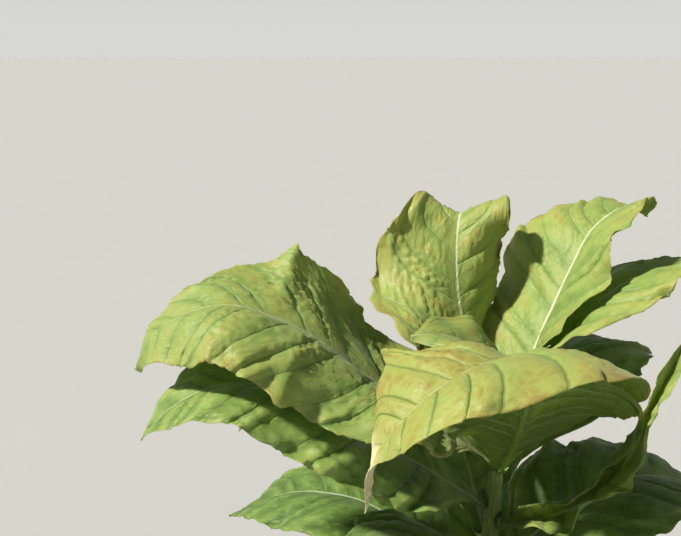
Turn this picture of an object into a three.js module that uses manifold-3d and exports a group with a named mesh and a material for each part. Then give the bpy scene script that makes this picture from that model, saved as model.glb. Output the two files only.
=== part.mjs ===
// A topped tobacco plant with ripening leaves, rooted in level ground.
// Millimetres, +Z up. The origin is the middle of the flat cut under the stem, at ground level.
// Angles are degrees. A turn of 0 points along +X, 90 along +Y.
import * as THREE from "three";
import Module from "manifold-3d";

const wasm = await Module();
wasm.setup();

// The stem: a ridged stalk that thins upwards, with a slight bow and a flare at the ground.
const STEM_HEIGHT = 838;
const STEM_FOOT_RADIUS = 17;
const STEM_TOP_RADIUS = 8.5;
const STEM_FLARE = 6;
const STEM_FLARE_HEIGHT = 34;
const STEM_BOW = new THREE.Vector2(-12, 5);
const STEM_SIDES = 20;
const STEM_RINGS = 18;

// The blades: thin closed solids with a thicker rib underneath. NEAR is the share of a leaf's length over
// which its surface direction is taken, and CLEARANCE is the gap where solids meet.
const BLADE_THICKNESS = 2.6;
const RIB_AT_BASE = 9;
const RIB_AT_TIP = 1.5;
const STATIONS = 11;
const STRIPS_EACH_SIDE = 3;
const MIDRIB_STEPS = 100;
const NEAR = 0.01;
const CLEARANCE = 0.35;

// A leaf's sizes when its entry does not state them.
const USUAL = {
  sweep: 0,
  sweepFrom: 0,
  bend: 0.55,
  ease: 0.4,
  roll: [0, 0],
  fold: [18, 10],
  curlLeft: [12, 30],
  curlRight: [12, 30],
  waveLeft: 12,
  waveRight: 12,
  waves: 2.5,
  phaseLeft: 0.35,
  phaseRight: 0,
  split: 0.5,
};

// The leaves that stand out, from the top down. foot is the height of the leaf's base on the stem, rise and
// fall are the midrib's slope at its base and at its tip, and bend is where along it the slope turns over.
// sweep turns the leaf sideways on its way out, roll tips it about its midrib, fold lifts both halves and
// curl bends them down again. Pairs give the value at the base and at the tip. wave is how far the margins
// ripple. Left and right are as seen from the stem, looking out along the leaf. A leaf with a split is two
// solids, inner and outer, that meet at that share of its length.
const SHOWN_LEAVES = {
  leaf_01: {
    turn: 190, foot: 795, length: 210, width: 115, rise: 57, fall: 4, roll: [15, 10], fold: [32, 18], split: 0,
  },
  leaf_02: { turn: 318, foot: 786, length: 125, width: 40, rise: 68, fall: 48, fold: [34, 23], split: 0 },
  leaf_03: {
    turn: 44, sweep: -10, sweepFrom: 0.25, foot: 726, length: 558, width: 242, rise: 53, fall: -30,
    bend: 0.78, ease: 0.25, roll: [33, 10], fold: [25, 15], curlLeft: [2, 22], curlRight: [-9, 15],
    waveLeft: 20, waveRight: 8, waves: 3.1, phaseLeft: 0.49, phaseRight: 0.4, split: 0.7,
  },
  leaf_04: {
    turn: 128, sweep: -68, sweepFrom: 0.1, foot: 696, length: 515, width: 297, rise: 60, fall: -51,
    bend: 0.8, ease: 0.07, roll: [-26, 7], fold: [-16, 25], curlLeft: [-7, -10], curlRight: [15, 120],
    waveLeft: 36, waveRight: 17, phaseLeft: 0.39, phaseRight: 0.97, split: 0.78,
  },
  leaf_05: {
    turn: 188, sweep: -9, foot: 649, length: 735, width: 300, rise: 39, fall: -95, bend: 0.84, ease: 0.35,
    roll: [2, 4], fold: [16, 8], curlLeft: [26, 88], curlRight: [-1, -18], waveLeft: 23, waveRight: 20,
    waves: 2.8, phaseLeft: 0.3, phaseRight: 0.66, split: 0.62,
  },
  leaf_06: {
    turn: 281, sweep: -91, foot: 627, length: 716, width: 306, rise: 60, fall: -98, bend: 0.72, ease: 0.415,
    roll: [2, -16], fold: [15, 19], curlLeft: [39, 73], curlRight: [28, 55], waveLeft: 25, waveRight: 38,
    waves: 2.7, phaseLeft: 0.6, phaseRight: 0.15, split: 0.5,
  },
  leaf_07: {
    turn: 14, sweep: 2, foot: 620, length: 658, width: 248, rise: 70, fall: -4, bend: 0.56, ease: 0.34,
    roll: [28, 8], fold: [19, 11], curlLeft: [2, 72], curlRight: [4, 30], waveLeft: 11, waveRight: 19,
    waves: 2.6, phaseLeft: 0.28, phaseRight: 0.22, split: 0.55,
  },
  leaf_09: {
    turn: 189, sweep: 4, foot: 560, length: 688, width: 292, rise: 38, fall: -64, bend: 0.81, ease: 0.3,
    roll: [6, 6], fold: [16, 6], curlLeft: [20, 60], curlRight: [10, 60], phaseLeft: 0.97, phaseRight: 0.38,
    split: 0.6,
  },
  leaf_10: {
    turn: 323, sweep: -13, foot: 523, length: 540, width: 178, rise: 34, fall: 77, bend: 0.4, ease: 0.3,
    roll: [-51, -110], fold: [69, 71], curlLeft: [-8, -50], curlRight: [-3, -4], waveLeft: 5, waveRight: 5,
    split: 0.36,
  },
};

// The other leaves follow the stem's own spiral, each one lower, shorter and more drooping.
const LEAVES = 20;
const FIRST_LOWER_LEAF = 8;
const SPIRAL_START = 48;
const SPIRAL_STEP = 137.5;
const LOWER_TOP_FOOT = 597;
const LOWER_FOOT_STEP = 37;
const LOWER_SIZES = { length: [680, 540], width: [300, 262], rise: [50, 25], fall: [-52, -40] };

// The height of a leaf's foot below which the leaf is old and dull.
const DULL_BELOW = 360;

// How far single lower leaves differ from that rule, by two slow waves down the stem.
const SWAY = { rate: 2.4, start: 1, sweep: 16, width: 10, roll: [6, -14], curl: 20 };
const DROOP = { rate: 4.1, start: -1.6, length: 14, rise: 3, fall: -10, bend: 0.04, wave: 3 };

// A blade's outline: where its belly lies and how full it is, its winged base and its drawn-out tip.
const OUTLINE = {
  skew: 0.88, fullness: 0.86, wing: 0.28, wingFrom: 0.03, wingLength: 0.23, tipFrom: 0.72, tipPull: 0.45,
  tipCurve: 1.6, least: 0.012,
};

const radians = (degrees) => (degrees * Math.PI) / 180;
const mix = (a, b, t) => a + (b - a) * t;
const smooth = (t) => {
  const x = Math.min(Math.max(t, 0), 1);
  return x * x * (3 - 2 * x);
};

function stemAxis(height) {
  const share = Math.sin(Math.PI * Math.min(height / STEM_HEIGHT, 1));
  return new THREE.Vector3(STEM_BOW.x * share, STEM_BOW.y * share, height);
}

function stemRadius(height) {
  const taper = mix(STEM_FOOT_RADIUS, STEM_TOP_RADIUS, (height / STEM_HEIGHT) ** 1.2);
  const flare = STEM_FLARE * (1 - smooth(height / STEM_FLARE_HEIGHT));
  return taper + flare;
}

// A closed geometry from vertices and outward triangles.
function geometryOf(vertices, triangles) {
  const geometry = new THREE.BufferGeometry();
  const flat = vertices.flatMap((v) => [v.x, v.y, v.z]);
  geometry.setAttribute("position", new THREE.Float32BufferAttribute(flat, 3));
  geometry.setIndex(triangles.flat());
  return geometry;
}

// The stem as rings about its bowed axis. grow widens it all round and lengthens its top.
function stemGeometry(grow) {
  const vertices = [];
  const triangles = [];
  for (let i = 0; i <= STEM_RINGS; i++) {
    const share = (i / STEM_RINGS) ** 1.35;
    const height = share * STEM_HEIGHT;
    const axis = stemAxis(height);
    const lift = i === STEM_RINGS ? grow : 0;
    for (let k = 0; k < STEM_SIDES; k++) {
      const angle = (2 * Math.PI * k) / STEM_SIDES;
      const radius = stemRadius(height) + grow;
      vertices.push(new THREE.Vector3(
        axis.x + radius * Math.cos(angle),
        axis.y + radius * Math.sin(angle),
        axis.z + lift,
      ));
    }
  }
  for (let i = 0; i < STEM_RINGS; i++) {
    for (let k = 0; k < STEM_SIDES; k++) {
      const a = i * STEM_SIDES + k;
      const b = i * STEM_SIDES + ((k + 1) % STEM_SIDES);
      triangles.push([a, b, b + STEM_SIDES], [a, b + STEM_SIDES, a + STEM_SIDES]);
    }
  }
  const top = STEM_RINGS * STEM_SIDES;
  for (let k = 1; k < STEM_SIDES - 1; k++) {
    triangles.push([0, k + 1, k], [top, top + k, top + k + 1]);
  }
  return geometryOf(vertices, triangles);
}

// Half the blade's breadth at u, as a share of its widest.
function breadth(u) {
  const belly = Math.sin(Math.PI * Math.min(Math.max(u, 0), 1) ** OUTLINE.skew) ** OUTLINE.fullness;
  const wing = mix(OUTLINE.wing, 1, smooth((u - OUTLINE.wingFrom) / OUTLINE.wingLength));
  const pastTip = Math.max(0, (u - OUTLINE.tipFrom) / (1 - OUTLINE.tipFrom));
  const tip = 1 - OUTLINE.tipPull * pastTip ** OUTLINE.tipCurve;
  return Math.max(belly * wing * tip, OUTLINE.least);
}

// The midrib's direction, the blade's sideways direction and its upper side at u.
function frameAt(leaf, u) {
  const slope = radians(mix(leaf.rise, leaf.fall, smooth((u - leaf.bend + leaf.ease) / (2 * leaf.ease))));
  const turned = smooth((u - leaf.sweepFrom) / (1 - leaf.sweepFrom));
  const heading = radians(leaf.turn + leaf.sweep * turned);
  const along = new THREE.Vector3(
    Math.cos(slope) * Math.cos(heading),
    Math.cos(slope) * Math.sin(heading),
    Math.sin(slope),
  );
  const level = new THREE.Vector3(Math.sin(heading), -Math.cos(heading), 0);
  const upright = level.clone().cross(along);
  const roll = radians(mix(...leaf.roll, smooth(u)));
  const side = level.clone().multiplyScalar(Math.cos(roll)).addScaledVector(upright, Math.sin(roll));
  const up = upright.multiplyScalar(Math.cos(roll)).addScaledVector(level, -Math.sin(roll));
  return { along, side, up };
}

// The midrib as points at even steps, walked out from the leaf's foot.
function midribTrack(leaf) {
  const at = stemAxis(leaf.foot);
  const track = [at.clone()];
  for (let i = 0; i < MIDRIB_STEPS; i++) {
    at.addScaledVector(frameAt(leaf, i / MIDRIB_STEPS).along, leaf.length / MIDRIB_STEPS);
    track.push(at.clone());
  }
  return track;
}

function midribPoint(track, u) {
  const i = Math.min(Math.max(Math.floor(u * MIDRIB_STEPS), 0), MIDRIB_STEPS - 1);
  return track[i].clone().lerp(track[i + 1], u * MIDRIB_STEPS - i);
}

// One row of points across the blade at u, from its left margin to its right one.
function rowAcross(leaf, track, u) {
  const midrib = midribPoint(track, u);
  const { side, up } = frameAt(leaf, u);
  const half = (leaf.width / 2) * breadth(u);
  const fold = radians(mix(...leaf.fold, u));
  const row = new Array(2 * STRIPS_EACH_SIDE + 1);
  row[STRIPS_EACH_SIDE] = midrib;
  for (const hand of [-1, 1]) {
    const curl = radians(mix(...(hand < 0 ? leaf.curlLeft : leaf.curlRight), smooth(u * 1.4)));
    const wave = hand < 0 ? leaf.waveLeft : leaf.waveRight;
    const phase = hand < 0 ? leaf.phaseLeft : leaf.phaseRight;
    const swing = wave * Math.sin(2 * Math.PI * (leaf.waves * u + phase));
    const lean = (v) => fold - curl * (v * breadth(u)) ** 1.3;
    const at = midrib.clone();
    for (let j = 1; j <= STRIPS_EACH_SIDE; j++) {
      const step = half / STRIPS_EACH_SIDE;
      const middle = lean((j - 0.5) / STRIPS_EACH_SIDE);
      at.addScaledVector(side, hand * step * Math.cos(middle)).addScaledVector(up, step * Math.sin(middle));
      const v = j / STRIPS_EACH_SIDE;
      const lift = swing * (v * breadth(u)) ** 2;
      const tilt = lean(v);
      row[STRIPS_EACH_SIDE + hand * j] = at.clone()
        .addScaledVector(side, -hand * lift * Math.sin(tilt))
        .addScaledVector(up, lift * Math.cos(tilt));
    }
  }
  return row;
}

// The blade between two stations as a closed solid: upper and lower skins, margins and ends.
function bladeGeometry(leaf, from, to) {
  const count = Math.max(4, Math.round(STATIONS * (to - from) + 1));
  const stations = Array.from({ length: count + 1 }, (_, i) => mix(from, to, i / count));
  const track = midribTrack(leaf);
  const wide = 2 * STRIPS_EACH_SIDE + 1;
  const upper = [];
  const lower = [];
  for (const u of stations) {
    const row = rowAcross(leaf, track, u);
    const before = rowAcross(leaf, track, u - NEAR);
    const after = rowAcross(leaf, track, u + NEAR);
    const rib = mix(RIB_AT_BASE, RIB_AT_TIP, u ** 0.6);
    row.forEach((point, j) => {
      const ahead = after[j].sub(before[j]);
      const across = row[Math.min(j + 1, wide - 1)].clone().sub(row[Math.max(j - 1, 0)]);
      const normal = across.cross(ahead).normalize();
      const below = BLADE_THICKNESS / 2 + (j === STRIPS_EACH_SIDE ? rib : 0);
      upper.push(point.clone().addScaledVector(normal, BLADE_THICKNESS / 2));
      lower.push(point.clone().addScaledVector(normal, -below));
    });
  }
  const under = upper.length;
  const triangles = [];
  const quad = (a, b, c, d) => triangles.push([a, b, c], [a, c, d]);
  for (let i = 0; i < count; i++) {
    for (let j = 0; j < wide - 1; j++) {
      const a = i * wide + j;
      quad(a, a + 1, a + wide + 1, a + wide);
      quad(under + a, under + a + wide, under + a + wide + 1, under + a + 1);
    }
    const left = i * wide;
    const right = left + wide - 1;
    quad(left, left + wide, under + left + wide, under + left);
    quad(right, under + right, under + right + wide, right + wide);
  }
  const last = count * wide;
  for (let j = 0; j < wide - 1; j++) {
    quad(j, under + j, under + j + 1, j + 1);
    quad(last + j, last + j + 1, under + last + j + 1, under + last + j);
  }
  return geometryOf([...upper, ...lower], triangles);
}

function solidOf(geometry) {
  return new wasm.Manifold(new wasm.Mesh({
    numProp: 3,
    vertProperties: geometry.getAttribute("position").array,
    triVerts: new Uint32Array(geometry.index.array),
  }));
}

function geometryOfSolid(solid) {
  const mesh = solid.getMesh();
  const geometry = new THREE.BufferGeometry();
  geometry.setAttribute("position", new THREE.BufferAttribute(mesh.vertProperties, 3));
  geometry.setIndex(new THREE.BufferAttribute(mesh.triVerts, 1));
  return geometry;
}

// The lower leaves' sizes from their place on the stem's spiral.
function lowerLeaf(number) {
  const k = number - FIRST_LOWER_LEAF;
  const down = k / (LEAVES - FIRST_LOWER_LEAF);
  const sway = Math.sin(SWAY.rate * k + SWAY.start);
  const droop = Math.sin(DROOP.rate * k + DROOP.start);
  return {
    turn: (SPIRAL_START + SPIRAL_STEP * k) % 360,
    sweep: SWAY.sweep * sway,
    foot: LOWER_TOP_FOOT - LOWER_FOOT_STEP * k,
    length: mix(...LOWER_SIZES.length, down ** 1.4) + DROOP.length * droop,
    width: mix(...LOWER_SIZES.width, down) + SWAY.width * sway,
    rise: mix(...LOWER_SIZES.rise, down ** 0.8) + DROOP.rise * droop,
    fall: mix(...LOWER_SIZES.fall, down) + DROOP.fall * droop,
    bend: USUAL.bend + DROOP.bend * droop,
    roll: SWAY.roll.map((angle) => angle * sway),
    fold: [20, 8],
    curlLeft: [14, 34 + SWAY.curl * sway],
    curlRight: [14, 34 - SWAY.curl * sway],
    waveLeft: USUAL.waveLeft + DROOP.wave * droop,
    waveRight: USUAL.waveRight - DROOP.wave * droop,
    phaseLeft: (0.35 + 0.618 * k) % 1,
    phaseRight: (0.381 * k) % 1,
  };
}

function allLeaves() {
  const names = Array.from({ length: LEAVES }, (_, i) => `leaf_${String(i + 1).padStart(2, "0")}`);
  return names.map((name, i) => [name, { ...USUAL, ...(SHOWN_LEAVES[name] ?? lowerLeaf(i + 1)) }]);
}

const plant = new THREE.Group();

function add(name, geometry, material) {
  const mesh = new THREE.Mesh(geometry, material);
  mesh.name = name;
  plant.add(mesh);
}

const stemMaterial = new THREE.MeshStandardMaterial({ color: 0x8a9a4e, roughness: 0.7, metalness: 0 });
const ripeMaterial = new THREE.MeshStandardMaterial({ color: 0xaab95a, roughness: 0.55, metalness: 0 });
const greenMaterial = new THREE.MeshStandardMaterial({ color: 0x5f7f3a, roughness: 0.55, metalness: 0 });
const lowerMaterial = new THREE.MeshStandardMaterial({ color: 0x4c6b35, roughness: 0.65, metalness: 0 });

add("stem", stemGeometry(0), stemMaterial);
const stemRoom = solidOf(stemGeometry(CLEARANCE));

// The leaves that stand out have ripened, and the oldest ones at the foot are the dullest.
function materialOf(name, leaf) {
  if (name in SHOWN_LEAVES) return ripeMaterial;
  return leaf.foot > DULL_BELOW ? greenMaterial : lowerMaterial;
}

for (const [name, leaf] of allLeaves()) {
  const material = materialOf(name, leaf);
  const gap = CLEARANCE / leaf.length / 2;
  const spans = leaf.split
    ? [["_inner", 0, leaf.split - gap], ["_outer", leaf.split + gap, 1]]
    : [["", 0, 1]];
  for (const [ending, from, to] of spans) {
    const blade = solidOf(bladeGeometry(leaf, from, to));
    const fitted = from === 0 ? blade.subtract(stemRoom) : blade;
    add(name + ending, geometryOfSolid(fitted), material);
  }
}

export default plant;
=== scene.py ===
"""A topped tobacco plant with ripening leaves, rooted in level ground, in a plain studio.

Metres, +Z up, with the origin at the middle of the stem's cut at ground level. Angles are degrees, and a
turn of 0 points along +X, 90 along +Y. A leaf's left and right are as seen from the stem, looking out along
the leaf.
"""
import math

import bpy
import numpy as np
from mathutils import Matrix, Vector


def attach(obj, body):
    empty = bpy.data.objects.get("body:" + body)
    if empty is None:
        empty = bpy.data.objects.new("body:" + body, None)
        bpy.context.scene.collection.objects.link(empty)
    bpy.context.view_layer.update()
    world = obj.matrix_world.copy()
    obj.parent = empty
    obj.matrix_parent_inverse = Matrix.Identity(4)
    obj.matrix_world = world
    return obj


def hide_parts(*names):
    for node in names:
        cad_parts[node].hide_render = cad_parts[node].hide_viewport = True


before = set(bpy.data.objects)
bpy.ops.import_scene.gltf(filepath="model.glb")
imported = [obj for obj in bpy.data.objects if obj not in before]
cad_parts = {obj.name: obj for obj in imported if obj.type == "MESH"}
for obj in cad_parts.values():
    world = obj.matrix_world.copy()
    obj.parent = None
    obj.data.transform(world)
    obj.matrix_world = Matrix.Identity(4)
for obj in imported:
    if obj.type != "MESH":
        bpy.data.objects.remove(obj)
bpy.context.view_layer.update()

MM = 0.001

# The stem, as the solid model has it.
STEM_HEIGHT = 838 * MM
STEM_FOOT_RADIUS = 17 * MM
STEM_TOP_RADIUS = 8.5 * MM
STEM_FLARE = 6 * MM
STEM_FLARE_HEIGHT = 34 * MM
STEM_BOW = (-12 * MM, 5 * MM)
STEM_SIDES = 72
STEM_RINGS = 260

# Fine shape of the stem: it swells at each leaf, two ridges run down from each leaf's foot, and the skin is
# faintly uneven and fluted. The ridges' angles are in radians. The cut at the top is aslant, and its rings,
# each a share of the edge and a depth, make it hollow.
NODE_SWELLING = 1.3 * MM
NODE_REACH = 9 * MM
RIDGE_HEIGHT = 0.7 * MM
RIDGE_LENGTH = 75 * MM
RIDGE_ASIDE = 0.75
RIDGE_HALF_WIDTH = 0.16
STEM_UNEVEN = 0.25 * MM
FLUTES = 13
FLUTE_DEPTH = 0.22 * MM
CUT_SLANT = 2.2 * MM
CUT_UNEVEN = 0.5 * MM
CUT_RINGS = ((0.78, 0.5 * MM), (0.3, 3 * MM), (0.015, 3.15 * MM))
FOOT_INNER_RING = 0.02
STEM_SEED = 7

# The leaves' shapes, as the solid model has them, in millimetres and degrees. A midrib leaves the stem at the
# height foot and the heading turn, and swings by sweep from sweep_from on. Its slope goes from rise to fall,
# over ease before and after bend. The blade rolls about the midrib, folds up from it and curls down to its
# margins, which wave from the phases on. A leaf that is split is two blades in the solid model. ripe says how
# far a leaf has turned from green to yellow, dry how far its tip has withered, pale_rib how white its midrib
# is, ragged how uneven its margins are, puckered how blistered it is, blisters where it is so most, grooved
# how deep its side veins lie, forward how far they slant to the tip, and spacing how far apart they are. A
# crest is a corner of the margin: its place along the leaf, its side, how far it stands up and out in
# millimetres, and its length as a share of the leaf's.
USUAL = {
    "sweep": 0, "sweep_from": 0, "bend": 0.55, "ease": 0.4, "roll": (0, 0), "fold": (18, 10), "split": True,
    "curl_left": (12, 30), "curl_right": (12, 30), "wave_left": 12, "wave_right": 12, "waves": 2.5,
    "phase_left": 0.35, "phase_right": 0, "ripe": 0.5, "dry": 0.0, "pale_rib": 0.5, "ragged": 1.0,
    "puckered": 0.8, "blisters": (), "grooved": 0.45, "forward": 0.8, "spacing": 48, "crests": (),
}
SHOWN_LEAVES = {
    1: {"turn": 190, "foot": 795, "length": 210, "width": 115, "rise": 57, "fall": 4, "roll": (15, 10),
        "fold": (32, 18), "ripe": 0.62, "pale_rib": 0.4, "split": False,
        "crests": ((0.86, 1, 0, 12, 0.1), (0.82, -1, -14, 34, 0.16))},
    2: {"turn": 318, "foot": 786, "length": 125, "width": 40, "rise": 68, "fall": 48, "fold": (34, 23),
        "ripe": 0.5, "split": False},
    3: {"turn": 44, "sweep": -10, "sweep_from": 0.25, "foot": 726, "length": 558, "width": 242, "rise": 53,
        "fall": -30, "bend": 0.78, "ease": 0.25, "roll": (33, 10), "fold": (25, 15), "curl_left": (2, 22),
        "curl_right": (-9, 15), "wave_left": 20, "wave_right": 8, "waves": 3.1, "phase_left": 0.49,
        "phase_right": 0.4, "ripe": 0.56, "pale_rib": 1.0, "spacing": 42,
        "crests": ((0.69, -1, 14, 18, 0.07), (0.42, -1, 0, 24, 0.12), (0.94, -1, 0, 95, 0.05),
                   (0.94, 1, 0, 95, 0.05))},
    4: {"turn": 128, "sweep": -68, "sweep_from": 0.1, "foot": 696, "length": 515, "width": 297, "rise": 60,
        "fall": -51, "bend": 0.8, "ease": 0.07, "roll": (-26, 7), "fold": (-16, 25), "curl_left": (-7, -10),
        "curl_right": (15, 120), "wave_left": 36, "wave_right": 17, "phase_left": 0.39, "phase_right": 0.97,
        "ripe": 0.64, "pale_rib": 1.0, "ragged": 1.2, "puckered": 1.4, "blisters": ((0.5, -0.6),),
        "crests": ((0.79, -1, 24, 6, 0.05), (0.6, -1, -34, 0, 0.2), (0.82, 1, 30, -8, 0.05),
                   (0.5, 1, -36, 24, 0.2))},
    5: {"turn": 188, "sweep": -9, "foot": 649, "length": 735, "width": 300, "rise": 39, "fall": -95,
        "bend": 0.84, "ease": 0.35, "roll": (2, 4), "fold": (16, 8), "curl_left": (26, 88),
        "curl_right": (-1, -18), "wave_left": 23, "wave_right": 20, "waves": 2.8, "phase_left": 0.3,
        "phase_right": 0.66, "ripe": 0.57, "pale_rib": 0.4, "ragged": 0.6, "puckered": 1.3,
        "blisters": ((0.6, 0.5),),
        "crests": ((0.63, 1, 36, 14, 0.022), (0.79, 1, 0, -30, 0.05), (0.86, 1, 4, 8, 0.015),
                   (0.84, -1, -38, 55, 0.09), (0.575, -1, 16, 8, 0.02), (0.95, -1, 0, 110, 0.04),
                   (0.95, 1, 0, 90, 0.04))},
    6: {"turn": 281, "sweep": -91, "foot": 627, "length": 716, "width": 306, "rise": 60, "fall": -98,
        "bend": 0.72, "ease": 0.415, "roll": (2, -16), "fold": (15, 19), "curl_left": (39, 73),
        "curl_right": (28, 55), "wave_left": 25, "wave_right": 38, "waves": 2.7, "phase_left": 0.6,
        "phase_right": 0.15, "ripe": 0.74, "dry": 1.0, "pale_rib": 0.25, "ragged": 0.15, "puckered": 0.6,
        "grooved": 1.0, "forward": 0.42, "spacing": 37,
        "crests": ((0.76, 1, -20, 82, 0.045), (0.52, -1, 22, -12, 0.08))},
    7: {"turn": 14, "sweep": 2, "foot": 620, "length": 658, "width": 248, "rise": 70, "fall": -4,
        "bend": 0.56, "ease": 0.34, "roll": (28, 8), "fold": (19, 11), "curl_left": (2, 72),
        "curl_right": (4, 30), "wave_left": 11, "wave_right": 19, "waves": 2.6, "phase_left": 0.28,
        "phase_right": 0.22, "ripe": 0.55, "pale_rib": 0.7},
    9: {"turn": 189, "sweep": 4, "foot": 560, "length": 688, "width": 292, "rise": 38, "fall": -64,
        "bend": 0.81, "ease": 0.3, "roll": (6, 6), "fold": (16, 6), "curl_left": (20, 60),
        "curl_right": (10, 60), "phase_left": 0.97, "phase_right": 0.38, "ripe": 0.42,
        "crests": ((0.93, -1, 0, 90, 0.05), (0.93, 1, 0, 90, 0.05))},
    10: {"turn": 323, "sweep": -13, "foot": 523, "length": 540, "width": 178, "rise": 34, "fall": 77,
         "bend": 0.4, "ease": 0.3, "roll": (-51, -110), "fold": (69, 71), "curl_left": (-8, -50),
         "curl_right": (-3, -4), "wave_left": 5, "wave_right": 5, "ripe": 0.58},
}

# The other leaves stand on a spiral down the stem. Pairs are for the highest of them and the lowest.
LEAVES = 20
LEAF_SEED = 100
FIRST_LOWER_LEAF = 8
SPIRAL_START = 48
SPIRAL_STEP = 137.5
LOWER_TOP_FOOT = 597
LOWER_FOOT_STEP = 37
LOWER_SIZES = {"length": (680, 540), "width": (300, 262), "rise": (50, 25), "fall": (-52, -40)}
LOWER_RIPE = (0.36, 0.16)

# The blades' grids. Rows crowd towards the side veins, which start a little further out on the right than on
# the left, stand at slightly uneven distances, and slant in a line that is part straight and part curved.
MIDRIB_STEPS = 400
ACROSS_STEPS = 12
ROWS_PER_VEIN = {"shown": 14, "lower": 9}
COLUMNS = {"shown": 38, "lower": 26}
FEWEST_VEINS = 4
ROW_CROWDING = 0.09
VEIN_OFFSET = 0.25
VEIN_SWAY = 0.2
VEIN_SWAY_RATE = 2.3
VEIN_DRIFT = 0.02
SLANT = (0.75, 0.25)
RIB_COLUMNS = (0.3, 0.6, 0.85, 1.0)

# Thickness of the blades, the midrib and the side veins, the first at the stem or midrib and the second at
# the far end. The upper side has a shallow channel over the midrib and furrows over the side veins.
BLADE_THICKNESS = 0.7 * MM
EDGE_THICKNESS = 0.35 * MM
RIB_HALF_WIDTH = (6 * MM, 0.8 * MM)
RIB_DEPTH = (7.5 * MM, 0.8 * MM)
RIB_CHANNEL = 0.14
VEIN_HALF_WIDTH = 0.065
LATERAL_DEPTH = 1.5 * MM
FURROW_DEPTH = 0.8 * MM

# Relief of the blades, full where a half blade is FULL_RELIEF wide. Pairs go from a plain leaf to a grooved
# one, and from a calm spot to a blistered one.
RELIEF_FADES_IN = 60 * MM
FULL_RELIEF = 110 * MM
QUILTING = (2.76 * MM, 5.98 * MM)
QUILT_PROFILE = (1.1, 0.6)
QUILT_SWELLS = (0.6, 1.35)
PUCKERS = 1.9 * MM
PUCKER_LENGTH = 13 * MM
PUCKER_SLANT = 0.4
BLISTER_PATCH = 120 * MM
BLISTERED = (0.25, 1.5)
BLISTER_PEAK = 1.6
BLISTER_REACH = (0.09, 0.35)
RUFFLES = 7 * MM
RUFFLE_SHARES = (0.75, 0.4)
RUFFLES_PER_VEIN = (0.5, 1.03)
RUFFLE_SWAY = 0.25
CRUMPLE = 5 * MM
CRUMPLE_LENGTH = 130 * MM
CREASES = 0.9 * MM
CREASE_LENGTH = 30 * MM

# The margins: scallops between the veins, teeth of two lengths, and a withered tip that has shrunk.
SCALLOPS = 0.012
MARGIN_TEETH = ((0.012, 12 * MM), (0.02, 42 * MM))
DRY_TIP_FROM = 0.81
DRY_TIP_FADE = 0.12
DRY_TIP_SHRINKING = 0.55
DRY_TIP_UNEVEN = 0.1
DRY_TIP_TEETH = 14 * MM

# The wings at a leaf's foot, which clasp the stem.
WING_SHARE = 0.075
WING_LENGTH = 95 * MM
CLASP_LENGTH = 42 * MM
CLASP_DROP = 0.45
CLASP_GAP = 0.7 * MM

# The map for baking, where each skin has half of the page and the walls round the edge a thin strip round it.
PAGE_EDGE = 0.03
PAGE_WIDE = 0.21
PAGE_LONG = 0.94
PAGE_MIDDLE = (0.24, 0.5)
PAGE_STRIP = 0.012
LOWER_PAGE = (0.5, 0)

# The side shoots, each a tuft of leaflets. Turns are to either side of the leaf's, and pairs are least and
# most.
SHOOT_SEED = 31
SHOOT_LEAVES = 12
LEAFLETS = 5
LEAFLET_ROWS = 15
LEAFLET_COLUMNS = 9
LEAFLET_LENGTH = (16 * MM, 34 * MM)
LEAFLET_SLIMNESS = 0.42
LEAFLET_THICKNESS = 0.5 * MM
LEAFLET_SPREAD = 0.83
LEAFLET_FOLD = 0.55
LEAFLET_CRINKLE = 0.12
LEAFLET_TURNS = 34
LEAFLET_RISES = (76, 86)
LEAFLET_CURLS = (5, 45)
SHOOT_ABOVE_LEAF = (7 * MM, 11 * MM)
SHOOT_SINKS_IN = 0.5 * MM

# The camera: its place, how far it looks down, and its focal length in the photograph's pixels, with the
# photograph's width.
CAMERA_PLACE = (-0.2723, -0.972, 1.3113)
CAMERA_DOWN = 17.7
FOCAL_PIXELS = 668
PHOTO_WIDTH = 681
SENSOR_WIDTH = 36

# Light: a high key from the left like a far window, a weak front light, and a pale sky that fades upwards.
KEY_TOWARD = (-0.66, -0.13, 0.74)
KEY_STRENGTH = 6.3
KEY_TINT = (1.0, 0.96, 0.88)
KEY_ANGLE = 4.0
FRONT_PLACE = (0.6, -2.6, 1.6)
FRONT_WATTS = 3
FRONT_TINT = (0.96, 0.98, 1.0)
FRONT_SIZE = 1.8
MIDDLE_HEIGHT = 0.7
FLOOR_REACH = 300.0
SKY_LOW = (0.68, 0.68, 0.67, 1.0)
SKY_HIGH = (0.13, 0.15, 0.17, 1.0)
SKY_FADE = (0.02, 0.5)


def mix(a, b, t):
    return a + (b - a) * t


def smooth(t):
    """Goes from 0 to 1 as t does, and levels off at both ends."""
    t = np.clip(t, 0, 1)
    return t * t * (3 - 2 * t)


def stem_axis(height):
    """The stem's middle at a height, as x, y, z."""
    share = np.sin(np.pi * np.clip(height / STEM_HEIGHT, 0, 1))
    return np.stack([STEM_BOW[0] * share, STEM_BOW[1] * share, height + 0 * share], -1)


def stem_radius(height):
    """The stem's radius at a height, with its flare."""
    taper = mix(STEM_FOOT_RADIUS, STEM_TOP_RADIUS, np.clip(height / STEM_HEIGHT, 0, 1) ** 1.2)
    return taper + STEM_FLARE * (1 - smooth(height / STEM_FLARE_HEIGHT))


def ripple(x, y, length, rng, waves=7):
    """A smooth uneven field over x and y, about -1 to 1, whose swells are about length across."""
    total = np.zeros(np.broadcast(x, y).shape)
    for angle in rng.uniform(0, 2 * np.pi, waves):
        pitch = 2 * np.pi / (length * rng.uniform(0.75, 1.5))
        total += np.sin(pitch * (x * np.cos(angle) + y * np.sin(angle)) + rng.uniform(0, 2 * np.pi))
    return total / math.sqrt(waves)


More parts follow.
